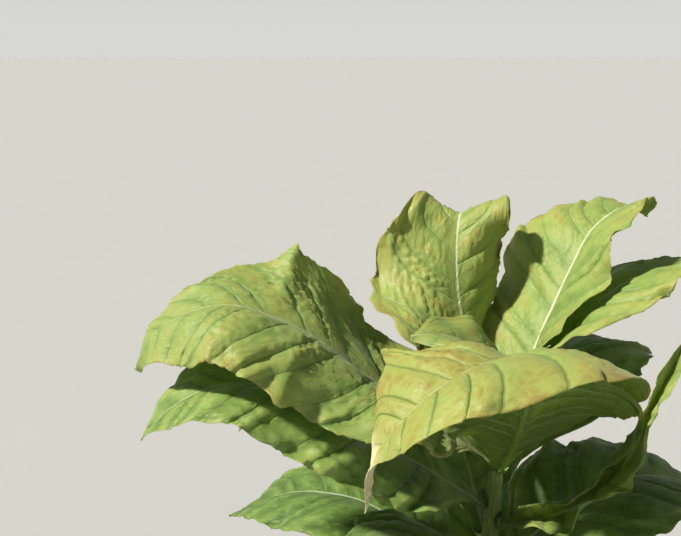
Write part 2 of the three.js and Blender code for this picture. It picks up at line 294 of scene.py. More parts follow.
def lower_leaf(number):
    """The sizes of a leaf lower down, from its place on the stem's spiral."""
    k = number - FIRST_LOWER_LEAF
    down = k / (LEAVES - FIRST_LOWER_LEAF)
    sway = math.sin(2.4 * k + 1)
    droop = math.sin(4.1 * k - 1.6)
    return {
        "turn": (SPIRAL_START + SPIRAL_STEP * k) % 360,
        "sweep": 16 * sway,
        "foot": LOWER_TOP_FOOT - LOWER_FOOT_STEP * k,
        "length": mix(*LOWER_SIZES["length"], down**1.4) + 14 * droop,
        "width": mix(*LOWER_SIZES["width"], down) + 10 * sway,
        "rise": mix(*LOWER_SIZES["rise"], down**0.8) + 3 * droop,
        "fall": mix(*LOWER_SIZES["fall"], down) - 10 * droop,
        "bend": USUAL["bend"] + 0.04 * droop,
        "roll": (6 * sway, -14 * sway),
        "fold": (20, 8),
        "curl_left": (14, 34 + 20 * sway),
        "curl_right": (14, 34 - 20 * sway),
        "wave_left": USUAL["wave_left"] + 3 * droop,
        "wave_right": USUAL["wave_right"] - 3 * droop,
        "phase_left": (0.35 + 0.618 * k) % 1,
        "phase_right": (0.381 * k) % 1,
        "ripe": mix(*LOWER_RIPE, down) + 0.06 * sway,
    }


def leaf_sizes(number):
    """One leaf's sizes in metres, with its midrib walked out from the stem."""
    leaf = {**USUAL, **(SHOWN_LEAVES.get(number) or lower_leaf(number)), "number": number}
    for key in ("foot", "length", "width", "wave_left", "wave_right", "spacing"):
        leaf[key] = leaf[key] * MM
    steps = np.linspace(0, 1, MIDRIB_STEPS + 1)
    along, _, _ = directions(leaf, (steps[1:] + steps[:-1]) / 2)
    walked = np.cumsum(along, 0) * leaf["length"] / MIDRIB_STEPS
    foot = stem_axis(np.array(leaf["foot"]))
    leaf["steps"] = steps
    leaf["midrib"] = np.vstack([foot, foot + walked])
    reach = stem_radius(leaf["foot"]) + CLASP_GAP
    leaf["start"] = reach / math.cos(math.radians(leaf["rise"])) / leaf["length"]
    return leaf


def breadth(u):
    """Half the blade's breadth at u, as a share of its widest."""
    u = np.clip(u, 0, 1)
    belly = np.clip(np.sin(np.pi * u**0.88), 0, 1) ** 0.86
    wing = mix(0.28, 1, smooth((u - 0.03) / 0.23))
    tip = 1 - 0.45 * np.clip((u - 0.72) / 0.28, 0, 1) ** 1.6
    return np.maximum(belly * wing * tip, 0.012)


def half_breadth(leaf, u):
    """Half the blade's breadth in metres, with the wings that clasp the stem."""
    out = (u - leaf["start"]) * leaf["length"]
    wing = WING_SHARE * leaf["width"] * (1 - smooth(out / WING_LENGTH))
    blade = leaf["width"] / 2 * breadth(u)
    return (wing**3 + blade**3) ** (1 / 3)


def directions(leaf, u):
    """The midrib's direction, the blade's sideways direction and its upper side at u."""
    over = smooth((u - leaf["bend"] + leaf["ease"]) / (2 * leaf["ease"]))
    slope = np.radians(mix(leaf["rise"], leaf["fall"], over))
    turned = smooth((u - leaf["sweep_from"]) / (1 - leaf["sweep_from"]))
    heading = np.radians(leaf["turn"] + leaf["sweep"] * turned)
    along = np.stack([np.cos(slope) * np.cos(heading), np.cos(slope) * np.sin(heading), np.sin(slope)], -1)
    level = np.stack([np.sin(heading), -np.cos(heading), 0 * heading], -1)
    upright = np.cross(level, along)
    roll = np.radians(mix(*leaf["roll"], smooth(u)))[..., None]
    side = np.cos(roll) * level + np.sin(roll) * upright
    up = np.cos(roll) * upright - np.sin(roll) * level
    return along, side, up


def domes(x, y, size, rng):
    """Rounded cells about size across: 1 over their middles, 0 along the lines between them."""
    x, y = x / size, y / size
    column, row = np.floor(x).astype(int), np.floor(y).astype(int)
    first = column.min() - 1, row.min() - 1
    spots = rng.uniform(0.1, 0.9, (column.max() - first[0] + 2, row.max() - first[1] + 2, 2))
    nearest = np.full(x.shape, 9.0)
    second = nearest.copy()
    for i in (-1, 0, 1):
        for j in (-1, 0, 1):
            spot = spots[column + i - first[0], row + j - first[1]]
            gap = np.hypot(column + i + spot[..., 0] - x, row + j + spot[..., 1] - y)
            second = np.minimum(second, np.maximum(gap, nearest))
            nearest = np.minimum(nearest, gap)
    return smooth((second - nearest) / 0.55)


def margin_growth(leaf, vein, u, v, rng):
    """How much wider or narrower the blade runs at each point than its smooth outline: scallops between the
    veins, uneven teeth, crests, and the withered tip's thin strip."""
    reach = np.abs(v)
    along = u * leaf["length"]
    uneven = SCALLOPS * np.sin(2 * np.pi * (vein - 0.25))
    for depth, length in MARGIN_TEETH:
        uneven = uneven + leaf["ragged"] * depth * ripple(along, 3 * np.sign(v), length, rng)
    growth = 1 + uneven * reach**5
    for place, hand, _, widen, length in leaf["crests"]:
        peak = 1 / (1 + ((u - place) / length) ** 2)
        growth = growth + (np.sign(v) == hand) * widen * MM / (leaf["width"] / 2) * peak * reach**2
    if leaf["dry"]:
        withered = smooth((u - DRY_TIP_FROM) / DRY_TIP_FADE)
        growth = growth * (1 - DRY_TIP_SHRINKING * leaf["dry"] * withered)
        teeth = ripple(along, 3 * np.sign(v), DRY_TIP_TEETH, rng)
        growth = growth * (1 + DRY_TIP_UNEVEN * withered * reach * teeth)
    return growth


def blade_points(leaf, u, v, growth):
    """Points of the blade at shares u of its length and v of its half breadth, left being negative."""
    _, side, up = directions(leaf, u)
    middle = np.stack([np.interp(u, leaf["steps"], leaf["midrib"][:, k]) for k in range(3)], -1)
    hand = np.sign(v)
    reach = np.abs(v) * breadth(u)
    fold = np.radians(mix(*leaf["fold"], u))
    late = smooth(u * 1.4)
    curl = np.radians(np.where(v < 0, mix(*leaf["curl_left"], late), mix(*leaf["curl_right"], late)))
    wave = np.where(v < 0, leaf["wave_left"], leaf["wave_right"])
    phase = np.where(v < 0, leaf["phase_left"], leaf["phase_right"])
    parts = (np.arange(ACROSS_STEPS) + 0.5) / ACROSS_STEPS
    lean = fold[..., None] - curl[..., None] * (reach[..., None] * parts) ** 1.3
    width = np.abs(v) * half_breadth(leaf, u) * growth
    sideways = hand * width * np.cos(lean).mean(-1)
    upwards = width * np.sin(lean).mean(-1)
    lift = wave * np.sin(2 * np.pi * (leaf["waves"] * u + phase)) * reach**2
    tilt = fold - curl * reach**1.3
    sideways -= hand * lift * np.sin(tilt)
    upwards += lift * np.cos(tilt)
    return middle + side * sideways[..., None] + up * upwards[..., None]


def clasped(leaf, points, u, v):
    """The points with the wings at the leaf's foot bent round the stem."""
    out = np.maximum((u - leaf["start"]) * leaf["length"], 0)
    rise = math.radians(leaf["rise"])
    along = u * leaf["length"]
    radial = np.maximum(along * math.cos(rise), stem_radius(leaf["foot"]) + CLASP_GAP)
    across = v * half_breadth(leaf, u)
    heading = math.radians(leaf["turn"]) - across / radial
    foot = stem_axis(np.array(leaf["foot"]))
    target = np.stack([
        foot[0] + radial * np.cos(heading),
        foot[1] + radial * np.sin(heading),
        foot[2] + along * math.sin(rise) - CLASP_DROP * np.abs(across),
    ], -1)
    share = (1 - smooth(out / CLASP_LENGTH))[..., None]
    return mix(points, target, share)


def grid_normals(points):
    """Unit normals of a grid of points, to the blade's upper side."""
    normals = np.cross(np.gradient(points, axis=1), np.gradient(points, axis=0))
    return normals / np.maximum(np.linalg.norm(normals, axis=-1, keepdims=True), 1e-12)


def leaf_grid(leaf):
    """The blade's grid, whose rows follow the side veins: vein number, u and v at each point."""
    pairs = max(FEWEST_VEINS, round(leaf["length"] / leaf["spacing"]))
    kind = "shown" if leaf["number"] in SHOWN_LEAVES else "lower"
    steps = np.arange(ROWS_PER_VEIN[kind]) / ROWS_PER_VEIN[kind]
    steps = steps - ROW_CROWDING * np.sin(2 * np.pi * steps)
    rows = np.append((np.arange(pairs)[:, None] + steps).ravel(), pairs)
    even = mix(leaf["start"], 1, rows / pairs)
    half = half_breadth(leaf, even)
    rib = np.minimum(1.5 * rib_half_width(even) / half, 0.5)[:, None]
    inner = rib * np.array(RIB_COLUMNS)
    outer = rib + (1 - rib) * np.arange(1, COLUMNS[kind] + 1) / COLUMNS[kind]
    reach = np.hstack([inner, outer])
    v = np.hstack([-reach[:, ::-1], np.zeros((len(rows), 1)), reach])
    ends = np.clip(np.minimum(rows, pairs - rows), 0, 1)[:, None]
    beside_rib = ends * smooth(np.abs(v) / rib)
    uneven = np.sin(VEIN_SWAY_RATE * rows[:, None] + np.sign(v) + leaf["number"])
    share = (rows[:, None] + (VEIN_OFFSET * np.sign(v) + VEIN_SWAY * uneven) * beside_rib) / pairs
    start = mix(leaf["start"], 1, share - VEIN_DRIFT * np.sin(2 * np.pi * share))
    forward = leaf["forward"] * half_breadth(leaf, start) / leaf["length"]
    u = start + forward * (SLANT[0] * np.abs(v) + SLANT[1] * np.abs(v) ** 2.5)
    vein = np.broadcast_to(rows[:, None], v.shape)
    return vein, np.clip(u, leaf["start"], 1), v, pairs


def rib_half_width(u):
    """Half the midrib's width at u."""
    return mix(*RIB_HALF_WIDTH, np.clip(u, 0, 1) ** 0.7)


def relief(leaf, vein, u, v, pairs, rng):
    """How far each point of the blade stands off its smooth shape: quilting between the side veins, puckers,
    ruffled margins, crests, creases and a loose crumple."""
    reach = np.abs(v)
    width = half_breadth(leaf, u)
    size = np.clip(width / FULL_RELIEF, 0, 1)
    across = v * width
    along = u * leaf["length"]
    cell = np.clip(np.floor(vein).astype(int), 0, pairs - 1)
    side = (v > 0).astype(int)
    swell = rng.uniform(*QUILT_SWELLS, (pairs, 2))[cell, side]
    between = (4 * (vein % 1) * (1 - vein % 1)) ** mix(*QUILT_PROFILE, leaf["grooved"])
    clear = smooth((reach - 0.04) / 0.22)
    quilt = mix(*QUILTING, leaf["grooved"]) * swell * between * clear * (1 - 0.35 * reach) * size
    blistered = smooth(0.5 + 0.7 * ripple(along, across, BLISTER_PATCH, rng))
    for place, hand in leaf["blisters"]:
        off = ((u - place) / BLISTER_REACH[0]) ** 2 + ((v - hand) / BLISTER_REACH[1]) ** 2
        blistered = blistered + BLISTER_PEAK * np.exp(-off)
    pucker = domes(along + PUCKER_SLANT * np.abs(across), across, PUCKER_LENGTH, rng) - 0.5
    pucker = PUCKERS * leaf["puckered"] * mix(*BLISTERED, blistered) * pucker * clear * between**0.5 * size
    sway = ripple(along, v, RUFFLE_SWAY, rng)
    beat = np.sin(2 * np.pi * (vein * RUFFLES_PER_VEIN[0] + rng.uniform() + 0.2 * sway + 0.37 * side))
    flutter = np.sin(2 * np.pi * (vein * RUFFLES_PER_VEIN[1] + rng.uniform() + 0.35 * side))
    ruffle = RUFFLES * min(0.4 + 0.6 * leaf["ragged"], 1) * smooth((reach - 0.5) / 0.5) ** 1.4 * size
    ruffle = ruffle * (RUFFLE_SHARES[0] * beat + RUFFLE_SHARES[1] * flutter)
    crumple = CRUMPLE * ripple(along, across, CRUMPLE_LENGTH, rng) * smooth(u / 0.25) * (0.3 + 0.7 * reach)
    creases = CREASES * ripple(along, across, CREASE_LENGTH, rng) * clear * size
    stand = quilt + pucker + ruffle + crumple + creases
    for place, hand, lift, _, length in leaf["crests"]:
        peak = 1 / (1 + ((u - place) / length) ** 2)
        stand = stand + (np.sign(v) == hand) * lift * MM * peak * reach**1.6
    return stand


def skins(leaf):
    """The blade's upper and lower skins as grids of points, with the grid that they follow."""
    rng = np.random.default_rng(LEAF_SEED + leaf["number"])
    vein, u, v, pairs = leaf_grid(leaf)
    growth = margin_growth(leaf, vein, u, v, rng)
    points = clasped(leaf, blade_points(leaf, u, v, growth), u, v)
    out = (u - leaf["start"]) * leaf["length"]
    stand = relief(leaf, vein, u, v, pairs, rng) * smooth(out / RELIEF_FADES_IN)
    points = points + grid_normals(points) * stand[..., None]
    normals = grid_normals(points)
    reach = np.abs(v)
    thick = mix(BLADE_THICKNESS, EDGE_THICKNESS, reach**4) / 2
    across = reach * half_breadth(leaf, u)
    inside = np.clip(1 - (across / rib_half_width(u)) ** 2, 0, 1)
    rib = mix(*RIB_DEPTH, u**0.6) * np.sqrt(inside)
    channel = RIB_CHANNEL * rib * inside
    near_vein = np.clip(1 - np.minimum(vein % 1, 1 - vein % 1) / VEIN_HALF_WIDTH, 0, 1)
    near_vein = near_vein * ((vein > 0.5) & (vein < pairs - 0.5)) * smooth((1 - reach) / 0.2)
    lateral = LATERAL_DEPTH * near_vein * (1 - 0.75 * reach) * (across > 0.5 * rib_half_width(u))
    furrow = FURROW_DEPTH * leaf["grooved"] * near_vein * (1 - 0.5 * reach)
    upper = points + normals * (thick - channel - furrow)[..., None]
    lower = points - normals * (thick + rib + furrow + lateral)[..., None]
    return vein, u, v, upper, lower


def blade_faces(rows, columns):
    """Corners of the faces of a closed blade: upper skin, lower skin, and the walls round the edge."""
    index = np.arange(rows * columns).reshape(rows, columns)
    under = index + rows * columns
    a, b, c, d = index[:-1, :-1], index[:-1, 1:], index[1:, 1:], index[1:, :-1]
    upper = np.stack([a, b, c, d], -1).reshape(-1, 4)
    lower = np.stack([a, d, c, b], -1).reshape(-1, 4) + rows * columns
    walls = [
        np.stack([index[:-1, 0], index[1:, 0], under[1:, 0], under[:-1, 0]], -1),
        np.stack([index[1:, -1], index[:-1, -1], under[:-1, -1], under[1:, -1]], -1),
        np.stack([index[0, 1:], index[0, :-1], under[0, :-1], under[0, 1:]], -1),
        np.stack([index[-1, :-1], index[-1, 1:], under[-1, 1:], under[-1, :-1]], -1),
    ]
    return upper, lower, np.vstack(walls)


def mesh_piece(name, points, faces, materials):
    """A smooth-shaded mesh object from arrays of points and of faces with four corners."""
    mesh = bpy.data.meshes.new(name)
    mesh.vertices.add(len(points))
    mesh.vertices.foreach_set("co", np.asarray(points, np.float32).ravel())
    mesh.loops.add(faces.size)
    mesh.loops.foreach_set("vertex_index", faces.astype(np.int32).ravel())
    mesh.polygons.add(len(faces))
    mesh.polygons.foreach_set("loop_start", np.arange(0, faces.size, 4, dtype=np.int32))
    mesh.update(calc_edges=True)
    mesh.validate()
    mesh.shade_smooth()
    for material in materials:
        mesh.materials.append(material)
    piece = bpy.data.objects.new(name, mesh)
    bpy.context.scene.collection.objects.link(piece)
    return piece


def add_map(mesh, name, corner_values):
    """A map of two values at each corner of the faces."""
    layer = mesh.uv_layers.new(name=name)
    layer.uv.foreach_set("vector", np.asarray(corner_values, np.float32).ravel())


def build_leaf(number):
    """One leaf as a closed mesh with its maps and its two materials."""
    leaf = leaf_sizes(number)
    vein, u, v, upper, lower = skins(leaf)
    top, bottom, walls = blade_faces(*u.shape)
    faces = np.vstack([top, bottom, walls])
    points = np.vstack([upper.reshape(-1, 3), lower.reshape(-1, 3)])
    piece = mesh_piece(f"leaf_{number:02d}_blade", points, faces, leaf_materials(leaf))
    mesh = piece.data
    material_index = np.zeros(len(faces), np.int32)
    material_index[len(top):len(top) + len(bottom)] = 1
    mesh.polygons.foreach_set("material_index", material_index)
    across = v * half_breadth(leaf, u)
    for name, first, second in (
        ("veins", vein, v),
        ("flat", u * leaf["length"], across),
        ("rib", np.clip(across / rib_half_width(u), -30, 30), u),
    ):
        both_skins = np.tile(np.stack([first, second], -1).reshape(-1, 2), (2, 1))
        add_map(mesh, name, both_skins[faces])
    page = np.stack([PAGE_EDGE + PAGE_WIDE * (1 + v), PAGE_EDGE + PAGE_LONG * u], -1).reshape(-1, 2)
    page_faces = np.vstack([page, page + LOWER_PAGE])[faces]
    outward = np.sign(page[walls[:, :2]] - PAGE_MIDDLE) * PAGE_STRIP
    page_faces[len(top) + len(bottom):, 2:] = (page[walls[:, :2]] + outward)[:, ::-1]
    add_map(mesh, "OFBake", page_faces)
    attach(piece, "root")
    name = f"leaf_{number:02d}"
    ends = ("_inner", "_outer") if leaf["split"] else ("",)
    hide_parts(*(name + end for end in ends))


def stem_skin(leaves, rng):
    """The stalk's skin as rings of points from the ground up to the slanting cut."""
    heights = np.linspace(0, STEM_HEIGHT, STEM_RINGS + 1)[:, None]
    angles = np.linspace(0, 2 * np.pi, STEM_SIDES + 1)[None, :-1]
    radius = stem_radius(heights) + 0 * angles
    for leaf in leaves:
        gap = (heights - leaf["foot"]) / NODE_REACH
        turn = math.radians(leaf["turn"])
        facing = 0.5 + 0.5 * np.cos(angles - turn)
        radius = radius + NODE_SWELLING * np.exp(-gap**2) * (0.35 + 0.65 * facing**2)
        below = np.clip((leaf["foot"] - heights) / RIDGE_LENGTH, 0, 1)
        fading = np.where(heights < leaf["foot"], 1 - smooth(below), 0)
        for side in (-1, 1):
            away = np.angle(np.exp(1j * (angles - turn - side * RIDGE_ASIDE)))
            radius = radius + RIDGE_HEIGHT * fading * np.exp(-((away / RIDGE_HALF_WIDTH) ** 2))
    radius = radius + STEM_UNEVEN * ripple(heights, angles * 0.02, 0.03, rng)
    radius = radius + FLUTE_DEPTH * np.cos(FLUTES * angles + 3 * np.sin(9 * heights))
    axis = stem_axis(heights)[:, 0]
    rings = np.stack([
        axis[:, None, 0] + radius * np.cos(angles),
        axis[:, None, 1] + radius * np.sin(angles),
        heights + 0 * angles,
    ], -1)
    slant = CUT_SLANT * np.cos(angles[0] - 2.1) + CUT_UNEVEN * ripple(angles[0], 0 * angles[0], 0.7, rng)
    rings[-1, :, 2] += slant - slant.max()
    return rings


def build_stem():
    """The stalk as one closed mesh, with a flat foot and a hollow cut."""
    rings = stem_skin([leaf_sizes(n) for n in range(1, LEAVES + 1)], np.random.default_rng(STEM_SEED))
    foot_middle, top_middle = rings[0].mean(0), rings[-1].mean(0)
    cut = [mix(top_middle, rings[-1], share) - [0, 0, depth] for share, depth in CUT_RINGS]
    outline = [mix(foot_middle, rings[0], FOOT_INNER_RING), *rings, *cut]
    points = np.concatenate(outline)
    index = np.arange(len(points)).reshape(len(outline), STEM_SIDES)
    after = np.roll(index, -1, 1)
    faces = np.stack([index[:-1], after[:-1], after[1:], index[1:]], -1).reshape(-1, 4)
    ends = []
    for ring, order in ((index[0], -1), (index[-1], 1)):
        for k in range(1, STEM_SIDES - 2, 2):
            ends.append([ring[0], ring[k], ring[k + 1], ring[k + 2]][::order])
    piece = mesh_piece("stem_stalk", points, np.vstack([faces, np.array(ends)]), [stem_material()])
    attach(piece, "root")
    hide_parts("stem")


def leaflet(base, turn, rise, length, curl, rng):
    """A shoot's small folded leaf as upper and lower grids of points."""
    u = np.linspace(0, 1, LEAFLET_ROWS)[:, None]
    v = np.linspace(-1, 1, LEAFLET_COLUMNS)[None, :]
    width = LEAFLET_SLIMNESS * length
    slope = np.radians(rise - curl * u**1.5)
    step = length / (LEAFLET_ROWS - 1)
    out = np.cumsum(np.cos(slope), 0) * step
    up = np.cumsum(np.sin(slope), 0) * step
    half = width / 2 * np.clip(np.sin(np.pi * (0.06 + 0.93 * u) ** 0.8), 0.03, 1)
    heading = math.radians(turn)
    outward = np.array([math.cos(heading), math.sin(heading), 0])
    sideways = np.array([math.sin(heading), -math.cos(heading), 0])
    crinkle = LEAFLET_CRINKLE * width * np.sin(9 * u + 4 * v + rng.uniform(0, 6))
    lift = (LEAFLET_FOLD * half + crinkle) * np.abs(v)
    points = base + outward * (out - lift * np.sin(slope))[..., None]
    points = points + sideways * (half * v * LEAFLET_SPREAD)[..., None]
    points[..., 2] += up + lift * np.cos(slope)
    normals = grid_normals(points) * LEAFLET_THICKNESS / 2
    return points + normals, points - normals


def build_shoots():
    """The young side shoots: a tuft of crinkled leaflets in each upper leaf's axil."""
    rng = np.random.default_rng(SHOOT_SEED)
    points = []
    for number in range(1, SHOOT_LEAVES + 1):
        leaf = leaf_sizes(number)
        for _ in range(LEAFLETS):
            turn = leaf["turn"] + rng.uniform(-LEAFLET_TURNS, LEAFLET_TURNS)
            height = leaf["foot"] + rng.uniform(*SHOOT_ABOVE_LEAF)
            heading = math.radians(turn)
            radius = stem_radius(height) - SHOOT_SINKS_IN
            base = stem_axis(np.array(height)) + radius * np.array([math.cos(heading), math.sin(heading), 0])
            length = rng.uniform(*LEAFLET_LENGTH)
            rise = rng.uniform(*LEAFLET_RISES)
            curl = rng.uniform(*LEAFLET_CURLS)
            both = leaflet(base, turn, rise, length, curl, rng)
            points.append(np.concatenate(both).reshape(-1, 3))
    part = np.vstack(blade_faces(LEAFLET_ROWS, LEAFLET_COLUMNS))
    faces = np.vstack([part + k * len(points[0]) for k in range(len(points))])
    piece = mesh_piece("side_shoots", np.vstack(points), faces, [shoot_material()])
    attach(piece, "root")


class Graph:
    """A node tree, with short calls for the nodes that it needs."""

    def __init__(self, tree):
        self.tree = tree
        self.tree.nodes.clear()

    def node(self, kind, inputs=(), **settings):
        made = self.tree.nodes.new("ShaderNode" + kind)
        for key, value in settings.items():
            setattr(made, key, value)
        for key, value in dict(inputs).items():
            self.put(made.inputs[key], value)
        return made

    def put(self, socket, value):
        if isinstance(value, bpy.types.NodeSocket):
            self.tree.links.new(value, socket)
        else:
            socket.default_value = value

    def map(self, name):
        """One of the piece's maps, whole, and its two values apart."""
        made = self.node("UVMap", uv_map=name)
        apart = self.node("SeparateXYZ", {0: made.outputs[0]})
        return made.outputs[0], apart.outputs[0], apart.outputs[1]

    def math(self, operation, a, b=0.0, c=0.0, clamp=False):
        made = self.node("Math", {0: a, 1: b, 2: c}, operation=operation, use_clamp=clamp)
        return made.outputs[0]

    def vector(self, operation, a, b, c=(0.0, 0.0, 0.0)):
        return self.node("VectorMath", {0: a, 1: b, 2: c}, operation=operation).outputs[0]

    def between(self, value, low, high, to_low=0.0, to_high=1.0):
        made = self.node("MapRange", {0: value, 1: low, 2: high, 3: to_low, 4: to_high},
                         interpolation_type="SMOOTHSTEP")
        return made.outputs[0]

    def blend(self, share, a, b):
        made = self.node("Mix", data_type="RGBA")
        self.put(made.inputs[0], share)
        self.put(made.inputs[6], a)
        self.put(made.inputs[7], b)
        return made.outputs[2]

    def noise(self, place, scale, detail=3.0, roughness=0.55):
        inputs = {"Vector": place, "Scale": scale, "Detail": detail, "Roughness": roughness}
        return self.node("TexNoise", inputs).outputs[0]

    def cells(self, place, scale):
        """How far each point is from the line between two cells."""
        inputs = {"Vector": place, "Scale": scale}
        return self.node("TexVoronoi", inputs, feature="DISTANCE_TO_EDGE").outputs["Distance"]

    def ramp(self, value, stops):
        made = self.node("ValToRGB", {0: value})
        steps = made.color_ramp.elements
        while len(steps) < len(stops):
            steps.new(0.5)
        for step, (place, tone) in zip(steps, stops):
            step.position = place
            step.color = tone
        return made.outputs[0]

    def tint(self, base, mask, amount, tone):
        """The colour base, with tone laid over it where the mask says."""
        return self.blend(self.math("MULTIPLY", mask, amount), base, tone)

    def bump(self, height, strength, distance):
        return self.node("Bump", {"Height": height, "Strength": strength, "Distance": distance}).outputs[0]

    def skin(self, base, rough, gloss, sheen=0.0, normal=None):
        inputs = {"Base Color": base, "Roughness": rough, "Specular IOR Level": gloss, "Sheen Weight": sheen}
        if normal is not None:
            inputs["Normal"] = normal
        return self.node("BsdfPrincipled", inputs).outputs[0]

    def let_through(self, skin, share, tone, normal=None):
        """The skin with a share of the light shining through in a tone."""
        inputs = {"Color": tone} if normal is None else {"Color": tone, "Normal": normal}
        glow = self.node("BsdfTranslucent", inputs).outputs[0]
        return self.node("MixShader", {0: share, 1: skin, 2: glow}).outputs[0]

    def show(self, shader):
        self.node("OutputMaterial", {"Surface": shader})


def new_material(name):
    material = bpy.data.materials.new(name)
    material.use_nodes = True
    return material, Graph(material.node_tree)


def colour(red, green, blue):
    """A linear colour from the eight-bit values that a screen shows."""
    shares = (value / 255 for value in (red, green, blue))
    return (*(((x + 0.055) / 1.055) ** 2.4 if x > 0.04045 else x / 12.92 for x in shares), 1.0)


# The tissue's colours from green to overripe, on the upper and the lower side.
RIPENING = (
    (0.0, colour(46, 78, 26)),
    (0.25, colour(78, 112, 40)),
    (0.45, colour(128, 158, 72)),
    (0.6, colour(158, 178, 92)),
    (0.75, colour(174, 178, 90)),
    (0.9, colour(168, 158, 78)),
    (1.0, colour(158, 140, 70)),
)
UNDERSIDE = (
    (0.0, colour(62, 94, 38)),
    (0.35, colour(88, 120, 46)),
    (0.6, colour(116, 142, 56)),
    (0.85, colour(156, 164, 76)),
    (1.0, colour(150, 126, 72)),
)
PALE_RIB = colour(230, 238, 200)
UNDER_RIB = colour(150, 174, 78)
VEIN_LIGHT = colour(192, 206, 132)
# Painted shade: a darker green laid along the side veins where their furrows shade the blade.
PAINTED_FURROW_SHADE = colour(72, 98, 30)
DRY_EDGE = colour(176, 138, 76)
DRY_TIP = colour(222, 210, 166)
DRY_BROWN = colour(120, 84, 52)
SHINING_THROUGH = colour(196, 224, 20)
TRANSLUCENT_SHARE = 0.36
SHOOT_TRANSLUCENT_SHARE = 0.2
SHOOT_TONES = ((0.3, colour(74, 104, 50)), (0.55, colour(112, 138, 70)), (0.75, colour(150, 166, 98)))
STALK_TONES = ((0.3, colour(112, 134, 62)), (0.55, colour(150, 166, 88)), (0.75, colour(186, 196, 126)))
STALK_DULL = colour(104, 114, 56)
STALK_EARTHY = colour(136, 112, 74)
STALK_PITH = colour(206, 200, 150)
EARTHY_HEIGHT = 110 * MM
PITH_DEPTHS = (4.5 * MM, 3 * MM)
FLOOR_TONES = ((0.3, colour(171, 171, 169)), (0.7, colour(172, 172, 170)))

# The blades' patterns: how far they shift from leaf to leaf, their scales, how the net of small veins is laid
# over the side veins' map, and how much each pattern adds to the ripeness and to the fine relief.
PATTERN_SHIFT = (3.7, 1.3)
PATCHES_SCALE = 9.0
MOTTLE_SCALE = 55.0
WARP_SCALE = 30.0
JITTER_SCALE = 45.0
NET_SCALE = 72.0
FINE_NET_SCALE = 230.0
SPOTS_SCALE = 26.0
SPECKS_SCALE = 700.0
NET_STRETCH = (0.042, 0.12, 1.0)
NET_JITTER = (0.008, 0.008, 0.0)
VEIN_WARP = 0.05
RIPER = {"patches": 0.56, "mottle": 0.36, "margin": 0.12, "off_vein": 0.13, "net": 0.1}
HIGHER = {"net": 0.9, "fine_net": 0.3, "specks": 0.08}
BUMP_STRENGTH = 0.25
BUMP_WHERE_PUCKERED = 0.14
BUMP_DISTANCE = 2 * MM
ROUGH_SPREAD = 0.16
LEAF_SHEEN = 0.12

# The down on the shoots and the stalk.
DOWN_BUMP = 0.6
DOWN_DISTANCE = 0.8 * MM
DOWN_SHEEN = 0.2

# The scorched margins, the dry spots and the withered tip.
SCORCHED_FROM = 0.972
SCORCHED_SHARE = 0.8
SPOT_SIZES = (0.075, 0.03)
SPOTS_LEFT_OUT = 0.86
SPOT_SHARE = 0.55
DRY_COLOUR_FROM = (0.86, 0.92)
DRY_BLOCKS_LIGHT = 0.6

# What differs between a blade's upper and lower side: its colours, how far it lags in ripeness, its side
# veins' width at the midrib and at the margin, how clearly both nets show, how high the side veins stand, and
# its finish.
UPPER = {
    "name": "upper", "tones": RIPENING, "lag": 0.08, "vein_width": (0.045, 0.016), "net": 0.14,
    "fine_net": 0.08, "rib_tone": PALE_RIB, "vein_height": -0.9, "facing": 1.0, "rough": 0.44, "gloss": 0.45,
}
UNDER = {
    "name": "under", "tones": UNDERSIDE, "lag": 0.34, "vein_width": (0.062, 0.022), "net": 0.22,
    "fine_net": 0.16, "rib_tone": UNDER_RIB, "vein_height": 1.2, "facing": -1.0, "rough": 0.56, "gloss": 0.22,
}


def leaf_materials(leaf):
    """A leaf's two materials, with how clearly its midrib and its side veins show, and how much shade is
    painted along the side veins' furrows.
    """
    pale, grooved = leaf["pale_rib"], leaf["grooved"]
    # The upper side gets painted shade along the side veins' furrows, stronger the more grooved the leaf is.
    upper = {**UPPER, "rib": pale, "lateral": 0.6 * pale * (1.2 - grooved), "painted_furrow_shade": 0.5 * grooved}
    under = {**UNDER, "rib": 0.85, "lateral": 0.5, "painted_furrow_shade": 0.0}
    return [leaf_material(leaf, upper), leaf_material(leaf, under)]


def vein_masks(g, side, place, shift):
    """Where the side veins and the midrib run, and how far each point is from them and from both nets."""
    veins, vein, v = g.map("veins")
    _, across, _ = g.map("rib")
    reach = g.math("ABSOLUTE", v)
    warp = g.math("MULTIPLY_ADD", g.noise(place, WARP_SCALE, 1.0), VEIN_WARP, -VEIN_WARP / 2)
    off_vein = g.math("PINGPONG", g.math("ADD", vein, warp), 0.5)
    lateral = g.math("DIVIDE", off_vein, g.between(reach, 0.0, 1.0, *side["vein_width"]))
    lateral = g.math("SUBTRACT", 1.0, lateral, clamp=True)
    jitter = g.node("TexNoise", {"Vector": place, "Scale": JITTER_SCALE, "Detail": 2.0}).outputs[1]
    net_place = g.vector("ADD", g.vector("MULTIPLY", veins, NET_STRETCH), shift)
    net_place = g.vector("MULTIPLY_ADD", jitter, NET_JITTER, net_place)
    return {
        "reach": reach,
        "off_vein": off_vein,
        "lateral": g.math("MULTIPLY", lateral, g.between(reach, 1.0, 0.75, 0.25, 1.0)),
        "rib": g.between(g.math("ABSOLUTE", across), 1.1, 0.55),
        "net": g.cells(net_place, NET_SCALE),
        "fine_net": g.cells(net_place, FINE_NET_SCALE),
    }


